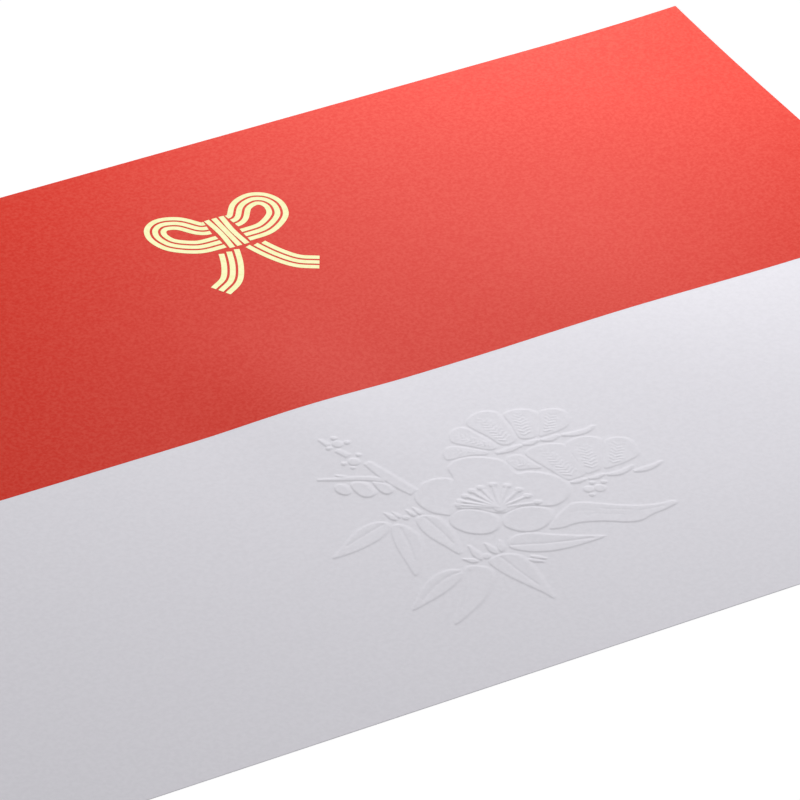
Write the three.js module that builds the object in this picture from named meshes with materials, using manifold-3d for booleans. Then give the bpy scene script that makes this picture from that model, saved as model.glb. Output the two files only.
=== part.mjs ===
// A gift wrapping sheet: one leaf of heavy fancy paper that lies open on a table.
// The far half of its face is printed red and carries a bow in gold foil. The near half is bare paper with
// a blind emboss of plum blossom, pine and bamboo: the paper itself is raised there, and hollow behind.
// Millimetres. +X runs along the long edge, +Y away from the viewer and +Z up. The origin is under the
// middle of the sheet, on the table.
import * as THREE from 'three';
import { mergeVertices } from 'three/addons/utils/BufferGeometryUtils.js';
import Module from 'manifold-3d';

const wasm = await Module();
wasm.setup();

// Sheet
const SHEET_WIDTH = 297;
const SHEET_DEPTH = 210;
const PAPER_THICKNESS = 0.22;
const RED_DEPTH = 105; // from the far edge to the printed edge
const INK_THICKNESS = 0.04;
const FOIL_THICKNESS = 0.05;
const LAYER_GAP = 0.05; // air kept between two layers that lie on each other

// How the sheet lies: two gentle ridges across the printed edge, and one far corner that curls up
const FACET = 12; // longest side of a facet of the sheet
const RIDGES = [
  { x: -19, halfWidth: 30, halfLength: 44, height: 0.7 },
  { x: 66, halfWidth: 45, halfLength: 60, height: 0.6 },
];
const CORNER_LIFT = 0.9;
const CORNER_REACH = 40;

// Emboss: its middle lies on the sheet's centre line, this far in front of the printed edge
const EMBOSS_FROM_RED_EDGE = 50;
const EMBOSS_RISE = 0.34; // height of a raised shoulder over the paper round it
const EMBOSS_CROWN = 0.12; // how much a form swells inside its shoulder
const EMBOSS_SLOPE = 0.45; // width of the slanted wall round a form
const FINE_RISE = 0.26; // the same height on stamens, buds and sprouts

// Foil bow: its middle lies on the sheet's centre line, this far from the far edge
const BOW_FROM_FAR_EDGE = 36;
const CORDS = 3;
const CORD_WIDTH = 1.35;
const CORD_GAP = 0.6;
const LOOP_REACH = 15.6; // from the bow's middle to the middle cord at the end of a loop
const LOOP_TOP = 9.4;
const TAIL_REACH = 13.2;
const TAIL_DROP = 20.4;
const KNOT_HALF_LENGTH = 6.2;

const redEdgeY = SHEET_DEPTH / 2 - RED_DEPTH;
const embossY = redEdgeY - EMBOSS_FROM_RED_EDGE;
const bowY = SHEET_DEPTH / 2 - BOW_FROM_FAR_EDGE;
const inkUnderside = PAPER_THICKNESS + LAYER_GAP;
const foilUnderside = inkUnderside + INK_THICKNESS + LAYER_GAP;

// Emboss forms, in millimetres from the middle of the emboss. An outline is a closed list of x, y.
// The blossom has three petals behind its stamens and two in front.
const PETALS = [
  [[-3, 12.3], [-2.2, 15.7], [0.4, 17.2], [3.4, 17.2], [6.8, 15.8], [9.6, 13.3], [10.6, 10.3], [10, 7],
    [6.1, 1.9], [0.7, -1.7], [-1.9, 3.3], [-3.3, 8.3]],
  [[10.2, 6.9], [13.1, 6.5], [16.2, 4.4], [18.3, 1.2], [18.5, -1.7], [17.2, -4.3], [14.9, -6.2],
    [11.9, -6.9], [9.1, -6], [4.7, -3.5], [1.3, -2.1], [5.9, 1.9]],
  [[-12.7, 11.6], [-10.3, 13.2], [-7.3, 13.5], [-4.3, 12.5], [-3.2, 10.9], [-2.9, 6.3], [-0.9, 0.1],
    [-3.3, 0.1], [-7.7, 1.4], [-11.7, 1.4], [-13.9, 3.1], [-15, 6.8], [-14.5, 9.8]],
  [[-12.5, -2.3], [-10.6, 0.3], [-7.4, 0.9], [-4.6, -0.6], [-2.6, -3], [-2.2, -5.7], [-3.6, -8.1],
    [-6.2, -9.1], [-9.2, -8.1], [-11.6, -5.6]],
  [[-2.1, -8.3], [-1.2, -6], [1.5, -4.5], [4.9, -4.3], [8.1, -5.6], [9.8, -7.8], [9.1, -10.2], [6.8, -12.1],
    [3.4, -12.9], [0.1, -11.7]],
];
const HEART = [0.4, -2.1];
const HEART_RADIUS = 1.6;

// Stamens run from the heart to these heads.
const STAMEN_HEADS = [[-7.8, 2], [-6.3, 3.4], [-4.3, 4.8], [-2, 5.8], [0.4, 6.1], [3.4, 5.8], [6, 4],
  [7.6, 1.6], [8.1, -1.2], [8.9, -4.1]];
const STAMEN_WIDTH = 0.55;
const STAMEN_HEAD = 1.3; // across

// A half-open blossom of three petals hangs under the side twig.
const HALF_OPEN_PETALS = [
  [[-29, 19.4], [-28.4, 20.8], [-26.7, 21.2], [-25.9, 20.2], [-25.8, 18.2], [-27, 17], [-28.4, 17.7]],
  [[-25.3, 20], [-23.3, 20.4], [-21.3, 18.9], [-21.1, 16.3], [-21.3, 14.7], [-23, 14], [-24.6, 14.7],
    [-25.5, 16.6]],
  [[-20.3, 18.7], [-18.6, 17.5], [-17.4, 15.9], [-17.6, 13.9], [-19.1, 13.1], [-20.3, 14.1], [-20.6, 16.5]],
];

// Round buds and berries: x, y, radius
const BUDS = [
  [-20, 26.8, 1.6], [-22.4, 27.2, 0.75], [-17.8, 28.6, 0.75], [-21.3, 25, 0.6],
  [-20, 34, 1.5], [-22.6, 33.5, 0.75], [-17.8, 33.6, 0.9], [-19.7, 36.2, 0.85],
  [21.7, -4.6, 1.4], [24.4, -5.7, 1.5], [23.8, -3.1, 0.8], [21.4, -7.1, 0.75], [26.5, -4.1, 0.8],
  [-20.1, 4.1, 0.9], [-11.5, -15.9, 1.1],
];

// Twigs, the old branch and the scalloped bands under the pine boughs: stations of x, y, width
const TWIGS = [
  [[-17.7, 25.2, 1.6], [-16.6, 20.6, 2.6], [-15, 14.8, 2.8], [-13.6, 11.2, 2.5]],
  [[-20.1, 29.1, 1.4], [-21.4, 32.1, 1.3]],
  [[-22.2, 34.4, 1.1], [-23, 37.2, 0.6]],
  [[-17.3, 18, 1.5], [-19.6, 19.7, 1.5], [-22.8, 21.4, 1.4], [-26.3, 22.8, 1.1], [-30.7, 24.7, 0.6]],
  [[-24.5, 22.8, 0.9], [-26.2, 24.3, 0.5]],
];
const BRANCH = [[7.2, -13, 2.4], [12.2, -12, 5], [16.1, -11.8, 7.4], [20.7, -14, 6], [25.2, -16.9, 5.9],
  [29.7, -17.5, 3.4], [36.5, -17.8, 1]];
const BANDS = [
  [[10.4, 15.7, 1], [13.8, 15.5, 1.9], [17, 15.8, 1.1]],
  [[17.5, 15.9, 1], [19.5, 15.6, 1.8], [21.5, 15.8, 1]],
  [[22, 15.5, 1], [24.3, 15, 2], [26.7, 15.4, 1.1]],
  [[27.2, 15.1, 0.9], [30.9, 14.1, 2], [34.2, 14.2, 1.6], [36.4, 15.1, 0.6]],
  [[19.5, -1.1, 0.8], [21.3, -1.5, 1.5], [23.3, -1.5, 0.9]],
  [[23.9, -1.7, 0.9], [26, -2, 1.5], [28, -1.8, 0.9]],
  [[28.4, -2.3, 1], [31.5, -2.8, 1.8], [33.9, -2.5, 1.4], [36.1, -1.6, 0.5]],
  [[34.8, -3.8, 0.9], [37.7, -4.2, 1.8], [40.5, -3.9, 1.4], [43, -3, 0.5]],
];

// Bamboo leaves and sprouts: base x and y, tip x and y, width, and how far the middle bends to the left
const LEAVES = [
  [-24.7, 3.6, -42.5, -1.4, 5.8, -0.4],
  [-22.9, 3.3, -29, -14.9, 5.6, 1.1],
  [-17, 3.1, -16.2, -12.6, 6, 0.3],
  [-18.9, -18.4, -36, -25.2, 5.8, -0.6],
  [-16, -17.6, -30.4, -33.5, 6.8, 1.4],
  [-8.7, -17, -6.2, -35.4, 7.6, 0],
  [-4.9, -14.8, 15.7, -21.5, 7.1, 0.2],
];
const SPROUTS = [
  [-22.4, 4.2, -23.5, 7.8, 1.4, 0], [-21.3, 4.6, -21.7, 7.2, 1, 0], [-18, 3.7, -18.6, 6.5, 1.1, 0],
  [-16.6, 3.7, -16.8, 6.6, 1, 0], [-14.2, -16.8, -16.7, -14.4, 1.6, 0], [-13.2, -16.6, -13.1, -10.8, 1.8, 0],
  [-9, -16.2, -9.4, -11.6, 1.7, 0], [-7.7, -16.1, -5.9, -12.1, 1.6, 0], [-3.9, -21.1, -1.3, -23.3, 1.2, 0],
  [-2.8, -20.2, -0.2, -22.6, 1.2, 0],
];

// Pine boughs: five lobes in the upper one and four in the lower one
const LOBES = [
  [[-0.8, 18.4], [-0.2, 21.1], [1.9, 22.3], [3.6, 21.9], [6.3, 19.6], [8.9, 16.9], [8.3, 16.2], [5.5, 17.3],
    [2.6, 17.8]],
  [[3.7, 23.8], [5.1, 26.9], [7.1, 27.7], [9, 27.3], [10.4, 23.8], [11.8, 19.3], [11.3, 17.6], [9.8, 17.8],
    [6.8, 20.6]],
  [[10.2, 27.3], [10.7, 29.1], [12.4, 30.6], [15.2, 31.3], [17.7, 30.4], [18.8, 28.7], [18.4, 24.3],
    [17.4, 18.9], [15.5, 18], [13.5, 18.3], [12, 22.1]],
  [[19.7, 28.1], [21.8, 28.7], [24.3, 28.2], [26.2, 26.7], [26.9, 25.2], [24.6, 21.6], [21.8, 17.8],
    [20, 17.8], [18.4, 19], [19.2, 23.8]],
  [[27.7, 24.8], [29.3, 24.9], [31.3, 24.2], [32.6, 22.6], [32.3, 20.2], [30.6, 18], [27.4, 17], [23.2, 16.9],
    [25.2, 20.8]],
  [[11.2, 12.7], [13.1, 13.4], [14.8, 12.8], [15.8, 9.2], [16.6, 6.5], [14.1, 7.3], [11.4, 8.4]],
  [[16.2, 12.7], [18, 13.7], [21, 13.9], [23.9, 13.1], [25.2, 11.5], [24.5, 6.7], [23.5, 0.5], [21.6, 0.2],
    [19.7, 0.4], [18, 4.7]],
  [[26.3, 11.6], [28.9, 12.5], [31.9, 12.1], [33.8, 10.7], [34.3, 9.4], [31.3, 4.5], [28.1, 0.4], [26.5, 0.2],
    [24.6, 0.5], [25.4, 6.2]],
  [[35, 8.7], [37.4, 8.9], [39.4, 7.8], [40.2, 6], [39.7, 3.2], [38.4, 0.9], [35.5, 0], [32.1, -0.1],
    [29.7, 0.3], [32.4, 4.6]],
];

const paper = new THREE.MeshStandardMaterial({ color: 0xe6e4e9, roughness: 0.85, metalness: 0 });
const redInk = new THREE.MeshStandardMaterial({ color: 0xdc4b40, roughness: 0.7, metalness: 0 });
const goldFoil = new THREE.MeshStandardMaterial({ color: 0xf4e9a4, roughness: 0.25, metalness: 1 });

// Evenly spaced lines from one value to another, at most a facet apart
function gridLines(from, to) {
  const cells = Math.max(1, Math.ceil((to - from) / FACET));
  return Array.from({ length: cells + 1 }, (_, k) => from + ((to - from) * k) / cells);
}

const columns = gridLines(-SHEET_WIDTH / 2, SHEET_WIDTH / 2);
const whiteRows = gridLines(-SHEET_DEPTH / 2, redEdgeY);
const redRows = gridLines(redEdgeY, SHEET_DEPTH / 2);
const rows = [...whiteRows, ...redRows.slice(1)];

// A smooth hump: 1 in its middle and 0 from t = -1 and t = 1 outwards
function hump(t) {
  return Math.abs(t) < 1 ? (1 + Math.cos(Math.PI * t)) / 2 : 0;
}

// Height of the sheet's underside over the table
function lift(x, y) {
  let height = 0;
  for (const ridge of RIDGES) {
    height += ridge.height * hump((x - ridge.x) / ridge.halfWidth) * hump((y - redEdgeY) / ridge.halfLength);
  }
  const fromCorner = Math.hypot(SHEET_WIDTH / 2 - x, SHEET_DEPTH / 2 - y);
  const curl = Math.max(0, 1 - fromCorner / CORNER_REACH);
  return height + CORNER_LIFT * curl * curl;
}

// Index of the grid interval that holds a value
function interval(lines, value) {
  let k = 0;
  while (k < lines.length - 2 && value > lines[k + 1]) k += 1;
  return k;
}

// The same height on the sheet's flat facets: each cell is split from its near left to its far right corner
function facetLift(x, y) {
  const i = interval(columns, x);
  const j = interval(rows, y);
  const s = (x - columns[i]) / (columns[i + 1] - columns[i]);
  const t = (y - rows[j]) / (rows[j + 1] - rows[j]);
  const nearLeft = lift(columns[i], rows[j]);
  const nearRight = lift(columns[i + 1], rows[j]);
  const farLeft = lift(columns[i], rows[j + 1]);
  const farRight = lift(columns[i + 1], rows[j + 1]);
  if (s >= t) return nearLeft + s * (nearRight - nearLeft) + t * (farRight - nearRight);
  return nearLeft + t * (farLeft - nearLeft) + s * (farRight - farLeft);
}

function geometryOf(positions, indices) {
  const geometry = new THREE.BufferGeometry();
  geometry.setAttribute('position', new THREE.Float32BufferAttribute(positions, 3));
  geometry.setIndex(indices);
  return geometry;
}

// A closed plate on a grid of lines, which follows the lie of the sheet between two heights
function plate(xs, ys, underside, top) {
  const positions = [];
  const indices = [];
  const at = (i, j, level) => 2 * (j * xs.length + i) + level;
  for (const y of ys) {
    for (const x of xs) {
      const height = lift(x, y);
      positions.push(x, y, height + underside, x, y, height + top);
    }
  }
  for (let j = 0; j < ys.length - 1; j += 1) {
    for (let i = 0; i < xs.length - 1; i += 1) {
      for (const level of [0, 1]) {
        const a = at(i, j, level);
        const b = at(i + 1, j, level);
        const c = at(i + 1, j + 1, level);
        const d = at(i, j + 1, level);
        if (level === 1) indices.push(a, b, c, a, c, d);
        else indices.push(a, c, b, a, d, c);
      }
    }
  }
  const wall = (i0, j0, i1, j1) => {
    const [a, b, c, d] = [at(i0, j0, 0), at(i1, j1, 0), at(i1, j1, 1), at(i0, j0, 1)];
    indices.push(a, b, c, a, c, d);
  };
  const [lastI, lastJ] = [xs.length - 1, ys.length - 1];
  for (let i = 0; i < lastI; i += 1) {
    wall(i, 0, i + 1, 0);
    wall(lastI - i, lastJ, lastI - i - 1, lastJ);
  }
  for (let j = 0; j < lastJ; j += 1) {
    wall(lastI, j, lastI, j + 1);
    wall(0, lastJ - j, 0, lastJ - j - 1);
  }
  return geometryOf(positions, indices);
}

// A closed body from rings of points with as many points each, the first and last ring closed by fans.
// Rings run anticlockwise as seen from the end that they run towards.
function body(rings, firstTip, lastTip) {
  const count = rings[0].length;
  const positions = [...rings.flat(2), ...firstTip, ...lastTip];
  const indices = [];
  const first = rings.length * count;
  const last = first + 1;
  for (let k = 0; k < count; k += 1) {
    const next = (k + 1) % count;
    for (let r = 0; r < rings.length - 1; r += 1) {
      const [a, b] = [r * count + k, r * count + next];
      indices.push(a, b, b + count, a, b + count, a + count);
    }
    const end = (rings.length - 1) * count;
    indices.push(first, next, k, last, end + k, end + next);
  }
  return geometryOf(positions, indices);
}

// A raised round form: a slanted wall round an outline, closed by a low crown. Its foot is inside the paper.
function mound(outline, rise, crown, drop, points) {
  const curve = new THREE.CatmullRomCurve3(outline.map(([x, y]) => new THREE.Vector3(x, y, 0)), true);
  const edge = curve.getSpacedPoints(points).slice(0, points);
  if (THREE.ShapeUtils.isClockWise(edge)) edge.reverse();
  const middle = new THREE.Vector3();
  for (const p of edge) middle.addScaledVector(p, 1 / points);
  const level = (x, y, z) => [x, y + embossY, facetLift(x, y + embossY) + z - drop];
  const shrunk = (p, share, inwards, z) => {
    const arm = p.clone().sub(middle);
    arm.setLength(Math.max(0.1, arm.length() * share - inwards));
    return level(middle.x + arm.x, middle.y + arm.y, z);
  };
  const top = PAPER_THICKNESS + rise;
  const foot = PAPER_THICKNESS / 2;
  const rings = [
    edge.map((p) => shrunk(p, 1, 0, foot)),
    edge.map((p) => shrunk(p, 1, EMBOSS_SLOPE, top)),
  ];
  return body(rings, level(middle.x, middle.y, foot), level(middle.x, middle.y, top + crown));
}

// A raised long form along stations of x, y and width, which slopes down to the paper at both ends
function stroke(stations, rise, crown, drop, steps) {
  const curve = new THREE.CatmullRomCurve3(stations.map(([x, y, width]) => new THREE.Vector3(x, y, width)));
  const endShare = Math.min(0.25, EMBOSS_SLOPE / curve.getLength());
  const share = (k) => THREE.MathUtils.lerp(endShare, 1 - endShare, k / steps);
  const foot = PAPER_THICKNESS / 2;
  const shoulderTop = PAPER_THICKNESS + rise;
  const level = (x, y, z) => [x, y + embossY, facetLift(x, y + embossY) + z - drop];
  const section = (at, top, middle) => {
    const p = curve.getPoint(at);
    const along = curve.getTangent(at);
    const across = new THREE.Vector2(-along.y, along.x).normalize();
    const half = p.z / 2;
    const shoulder = half - Math.min(EMBOSS_SLOPE, 0.6 * half);
    const side = (distance, z) => level(p.x + across.x * distance, p.y + across.y * distance, z);
    const left = [side(half, foot), side(shoulder, top)];
    const right = [side(-shoulder, top), side(-half, foot)];
    return crown > 0 ? [...left, side(0, middle), ...right] : [...left, ...right];
  };
  const rings = [
    section(0, PAPER_THICKNESS, PAPER_THICKNESS),
    ...Array.from({ length: steps + 1 }, (_, k) => section(share(k), shoulderTop, shoulderTop + crown)),
    section(1, PAPER_THICKNESS, PAPER_THICKNESS),
  ];
  const tip = (at) => {
    const p = curve.getPoint(at);
    return level(p.x, p.y, (foot + PAPER_THICKNESS) / 2);
  };
  return body(rings, tip(0), tip(1));
}

// A leaf that is widest a third of the way along and runs out to a point
function leafStations([baseX, baseY, tipX, tipY, width, bend], count) {
  const length = Math.hypot(tipX - baseX, tipY - baseY);
  const [leftX, leftY] = [-(tipY - baseY) / length, (tipX - baseX) / length];
  return Array.from({ length: count }, (_, k) => {
    const t = k / (count - 1);
    const swell = t < 0.3 ? Math.sqrt(t / 0.3) : 1 - ((t - 0.3) / 0.7) ** 1.7;
    const sideways = bend * 4 * t * (1 - t);
    return [
      baseX + t * (tipX - baseX) + leftX * sideways,
      baseY + t * (tipY - baseY) + leftY * sideways,
      Math.max(0.3, width * swell),
    ];
  });
}

function disc([x, y, radius]) {
  return [[x + radius, y], [x, y + radius], [x - radius, y], [x, y - radius]];
}

// A stamen: a thin thread from the heart that swells into its head
function stamenStations([headX, headY]) {
  const length = Math.hypot(headX - HEART[0], headY - HEART[1]);
  const at = (distance, width) => [
    THREE.MathUtils.lerp(HEART[0], headX, distance / length),
    THREE.MathUtils.lerp(HEART[1], headY, distance / length),
    width,
  ];
  return [
    at(HEART_RADIUS, STAMEN_WIDTH),
    at(length - STAMEN_HEAD, STAMEN_WIDTH),
    at(length, STAMEN_HEAD),
    at(length + STAMEN_HEAD / 2, STAMEN_WIDTH),
  ];
}

// The broad forms, which are hollow behind: drop lowers them to cut that hollow
function broadForms(drop) {
  return [
    ...PETALS.map((outline) => mound(outline, EMBOSS_RISE, EMBOSS_CROWN, drop, 18)),
    ...LOBES.map((outline) => mound(outline, EMBOSS_RISE, EMBOSS_CROWN, drop, 14)),
    ...LEAVES.map((leaf) => stroke(leafStations(leaf, 8), EMBOSS_RISE, EMBOSS_CROWN, drop, 7)),
    stroke(BRANCH, EMBOSS_RISE, EMBOSS_CROWN, drop, 10),
  ];
}

// The narrow forms beside them, as high but too slim to be hollow
function narrowForms() {
  return [
    ...HALF_OPEN_PETALS.map((outline) => mound(outline, EMBOSS_RISE, 0, 0, 12)),
    ...TWIGS.map((stations) => stroke(stations, EMBOSS_RISE, 0, 0, stations.length + 1)),
    ...BANDS.map((stations) => stroke(stations, EMBOSS_RISE, 0, 0, 5)),
  ];
}

// The small forms on top of them and beside them
function fineForms() {
  const onPetals = EMBOSS_RISE + EMBOSS_CROWN + FINE_RISE / 2;
  return [
    mound(disc([...HEART, HEART_RADIUS]), onPetals, 0, 0, 8),
    ...STAMEN_HEADS.map((head) => stroke(stamenStations(head), onPetals, 0, 0, 3)),
    ...BUDS.map((bud) => mound(disc(bud), FINE_RISE, FINE_RISE / 3, 0, 8)),
    ...SPROUTS.map((sprout) => stroke(leafStations(sprout, 5), FINE_RISE, 0, 0, 3)),
  ];
}

function solid(geometry) {
  const bare = geometry.clone();
  bare.deleteAttribute('normal');
  bare.deleteAttribute('uv');
  const merged = mergeVertices(bare, 1e-5);
  return new wasm.Manifold(new wasm.Mesh({
    numProp: 3,
    vertProperties: new Float32Array(merged.attributes.position.array),
    triVerts: new Uint32Array(merged.index.array),
  }));
}

function geometryFromSolid(result) {
  const mesh = result.getMesh();
  return geometryOf(Array.from(mesh.vertProperties), Array.from(mesh.triVerts));
}

// The paper: a thin plate with the emboss raised on its face and cut out of its back
function paperSheet() {
  let sheet = solid(plate(columns, rows, 0, PAPER_THICKNESS));
  const raised = [...broadForms(0), ...narrowForms(), ...fineForms()];
  for (const form of raised) sheet = sheet.add(solid(form));
  for (const hollow of broadForms(PAPER_THICKNESS)) sheet = sheet.subtract(solid(hollow));
  return geometryFromSolid(sheet);
}

// The red print: a thin coat over the far half
function inkCoat() {
  return plate(columns, redRows, inkUnderside, inkUnderside + INK_THICKNESS);
}

// One flat strip of foil of the cord's width, set off sideways from a curve, from a share of its length on
function foilStrip(curve, offset, from, steps) {
  const rings = [];
  const tips = [];
  for (let k = 0; k <= steps; k += 1) {
    const share = THREE.MathUtils.lerp(from, 1, k / steps);
    const p = curve.getPointAt(share);
    const along = curve.getTangentAt(share);
    const across = new THREE.Vector2(-along.y, along.x).normalize();
    const side = (distance, z) => {
      const [x, y] = [p.x + across.x * distance, p.y + across.y * distance + bowY];
      return [x, y, facetLift(x, y) + foilUnderside + z];
    };
    const [left, right] = [offset + CORD_WIDTH / 2, offset - CORD_WIDTH / 2];
    rings.push([side(left, 0), side(left, FOIL_THICKNESS), side(right, FOIL_THICKNESS), side(right, 0)]);
    tips.push(side(offset, FOIL_THICKNESS / 2));
  }
  return body(rings, tips[0], tips[steps]);
}

// Share of a curve's length from which the strip set off from it lies below a height
function shareBelow(curve, offset, height) {
  for (let share = 0; share < 1; share += 0.005) {
    const { x: alongX } = curve.getTangentAt(share);
    const highest = curve.getPointAt(share).y + alongX * offset + (Math.abs(alongX) * CORD_WIDTH) / 2;
    if (highest < height) return share;
  }
  return 0;
}

function curveThrough(points) {
  return new THREE.CatmullRomCurve3(points.map(([x, y]) => new THREE.Vector3(x, y, 0)));
}

// The bow: per side one loop and one tail of parallel cords, and a knot of short cords across the middle
function bowCords() {
  const pitch = CORD_WIDTH + CORD_GAP;
  const halfBand = ((CORDS - 1) * pitch + CORD_WIDTH) / 2;
  const besideKnot = halfBand + CORD_GAP;
  const fromMiddle = halfBand + CORD_GAP / 2;
  const cords = [];
  for (const [side, name] of [[-1, 'left'], [1, 'right']]) {
    const loop = curveThrough([
      [side * besideKnot, fromMiddle],
      [side * (besideKnot + 1), fromMiddle],
      [side * 0.52 * LOOP_REACH, 0.82 * LOOP_TOP],
      [side * 0.8 * LOOP_REACH, LOOP_TOP],
      [side * LOOP_REACH, 0.6 * LOOP_TOP],
      [side * 0.9 * LOOP_REACH, 0.08 * LOOP_TOP],
      [side * 0.58 * LOOP_REACH, -0.86 * fromMiddle],
      [side * (besideKnot + 1), -fromMiddle],
      [side * besideKnot, -fromMiddle],
    ]);
    const tail = curveThrough([
      [side * 0.12 * TAIL_REACH, 0],
      [side * 0.27 * TAIL_REACH, -0.36 * TAIL_DROP],
      [side * 0.46 * TAIL_REACH, -0.66 * TAIL_DROP],
      [side * 0.68 * TAIL_REACH, -0.87 * TAIL_DROP],
      [side * TAIL_REACH, -TAIL_DROP],
    ]);
    for (let k = 0; k < CORDS; k += 1) {
      const offset = (k - (CORDS - 1) / 2) * pitch;
      const start = shareBelow(tail, offset, -KNOT_HALF_LENGTH - CORD_GAP);
      cords.push([`foil_${name}_loop_cord_${k + 1}`, foilStrip(loop, offset, 0, 18)]);
      cords.push([`foil_${name}_tail_cord_${k + 1}`, foilStrip(tail, offset, start, 8)]);
    }
  }
  for (let k = 0; k < CORDS; k += 1) {
    const x = (k - (CORDS - 1) / 2) * pitch;
    const knot = curveThrough([[x, -KNOT_HALF_LENGTH], [0.8 * x, 0], [x, KNOT_HALF_LENGTH]]);
    cords.push([`foil_knot_cord_${k + 1}`, foilStrip(knot, 0, 0, 4)]);
  }
  return cords;
}

const wrappingSheet = new THREE.Group();

function addPiece(name, geometry, material) {
  const mesh = new THREE.Mesh(geometry, material.clone());
  mesh.name = name;
  wrappingSheet.add(mesh);
}

addPiece('paper_sheet', paperSheet(), paper);
addPiece('red_ink_coat', inkCoat(), redInk);
for (const [name, geometry] of bowCords()) addPiece(name, geometry, goldFoil);

export default wrappingSheet;
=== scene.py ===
"""A gift wrapping sheet, dressed for looking at: one leaf of heavy fancy paper that lies open on a table.

The far half of its face is printed red and carries a bow in gold foil. The near half is bare paper with
a blind emboss of plum blossom, pine and bamboo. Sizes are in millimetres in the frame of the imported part,
and turn into metres where a mesh is made.
"""

import math

import bpy
import numpy as np
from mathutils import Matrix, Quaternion, Vector


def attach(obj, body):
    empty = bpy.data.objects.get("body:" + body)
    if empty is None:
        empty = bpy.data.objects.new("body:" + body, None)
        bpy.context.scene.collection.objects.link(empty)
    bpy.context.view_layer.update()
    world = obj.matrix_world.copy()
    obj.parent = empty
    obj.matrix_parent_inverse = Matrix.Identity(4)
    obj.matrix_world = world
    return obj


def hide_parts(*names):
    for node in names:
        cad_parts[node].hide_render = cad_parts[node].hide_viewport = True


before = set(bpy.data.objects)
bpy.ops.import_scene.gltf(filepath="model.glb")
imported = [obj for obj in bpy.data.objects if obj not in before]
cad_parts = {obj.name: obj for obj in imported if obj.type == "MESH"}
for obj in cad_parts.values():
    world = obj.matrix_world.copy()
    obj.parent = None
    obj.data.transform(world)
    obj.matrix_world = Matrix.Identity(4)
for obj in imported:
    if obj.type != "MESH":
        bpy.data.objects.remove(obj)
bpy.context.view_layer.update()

MM = 0.001

# Camera: fitted to the sheet's edges, the printed edge and the emboss. Metres.
CAMERA_PLACE = Vector((-0.64134, -0.98952, 0.84258))
CAMERA_AIM = Vector((0.00199, -0.00663, 0))
CAMERA_ROLL = 3.898  # degrees
CAMERA_LENS = 287.98  # mm on a 36 mm sensor


def make_camera():
    """A long lens from the near left, at the photograph's viewing angle."""
    data = bpy.data.cameras.new("camera")
    data.lens = CAMERA_LENS
    data.sensor_width = 36
    camera = bpy.data.objects.new("camera", data)
    camera.location = CAMERA_PLACE
    camera.rotation_mode = "QUATERNION"
    level = (CAMERA_AIM - CAMERA_PLACE).to_track_quat("-Z", "Y")
    camera.rotation_quaternion = level @ Quaternion((0, 0, 1), math.radians(CAMERA_ROLL))
    bpy.context.scene.collection.objects.link(camera)
    bpy.context.scene.camera = camera


make_camera()

# Sheet, and the heights of its layers over the underside of the paper
SHEET_WIDTH = 297
SHEET_DEPTH = 210
PAPER_THICKNESS = 0.22
INK_UNDERSIDE = 0.222
INK_TOP = 0.24
FOIL_UNDERSIDE = 0.242
FOIL_THICKNESS = 0.03

# How the sheet lies: two gentle ridges across the printed edge, one far corner that curls up, and a few
# shallow dents from handling
RIDGES = [(-19, 30, 44, 0.7), (66, 45, 60, 0.6)]  # x, half width, half length, height
CORNER_LIFT = 0.9
CORNER_REACH = 40
# Dents: x, y, radius, height
DENTS = [(58, -22, 2.6, -0.03), (60.5, -24, 1.8, -0.03), (-63, -77, 3, -0.04), (-64, -101, 2.4, -0.04)]

# Lattice that the sheet is built on: coarse squares, split in steps where the paper is embossed or dented
SQUARES = [32, 16, 8, 4, 2, 1]  # finest steps along each kind of square
COLUMNS = 74 * SQUARES[0]
ROWS = 52 * SQUARES[0]
PRINTED_ROW = ROWS // 2
lattice_x = np.linspace(-SHEET_WIDTH / 2, SHEET_WIDTH / 2, COLUMNS + 1)
lattice_y = np.linspace(-SHEET_DEPTH / 2, SHEET_DEPTH / 2, ROWS + 1)
FACE_FLATNESS = 0.0045  # a square is split if the relief leaves it by more than this
BACK_FLATNESS = 0.013
FACE_PASSES = 2  # how often the relief is softened on the face, and again on the back
BACK_PASSES = 6

# Emboss: its middle, and x and y from there in all that follows
EMBOSS_X = 0.14
EMBOSS_Y = -49.77  # from the printed edge
WALL = 0.4  # width of the slanted wall round a form
WALL_OUTSIDE = 0.4  # share of the wall that lies outside the outline
DOME_WALL = 0.8  # width of the wall round a dome, as a share of the same
DOME_SPREAD = 0.1  # how far a dome's foot runs out past its radius
DOME_FALL = 0.2  # share of its height that a dome loses from the middle to the foot
FAR_SLOPE = 0.22  # steepest slope on the sides of a broad form that look to the right or away
SMALL_FAR_SLOPE = 0.3  # the same on stamens, buds and small leaves
SLOPE_ALONG_X, SLOPE_ALONG_Y = 0.51, 0.86  # shares of a slope that looks straight away from the camera
SAG = 0.035  # how far the middle of a broad form lies below its rim
SAG_REACH = 3
PETAL_RISE = 0.125
FRONT_PETAL_RISE = 0.135
LEAF_RISE = 0.12
PINE_RISE = 0.1
BAND_RISE = 0.125
TWIG_RISE = 0.12
BUD_RISE = 0.13
SPROUT_RISE = 0.15
HEAD_RISE = 0.15
HEART_RISE = 0.11

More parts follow.
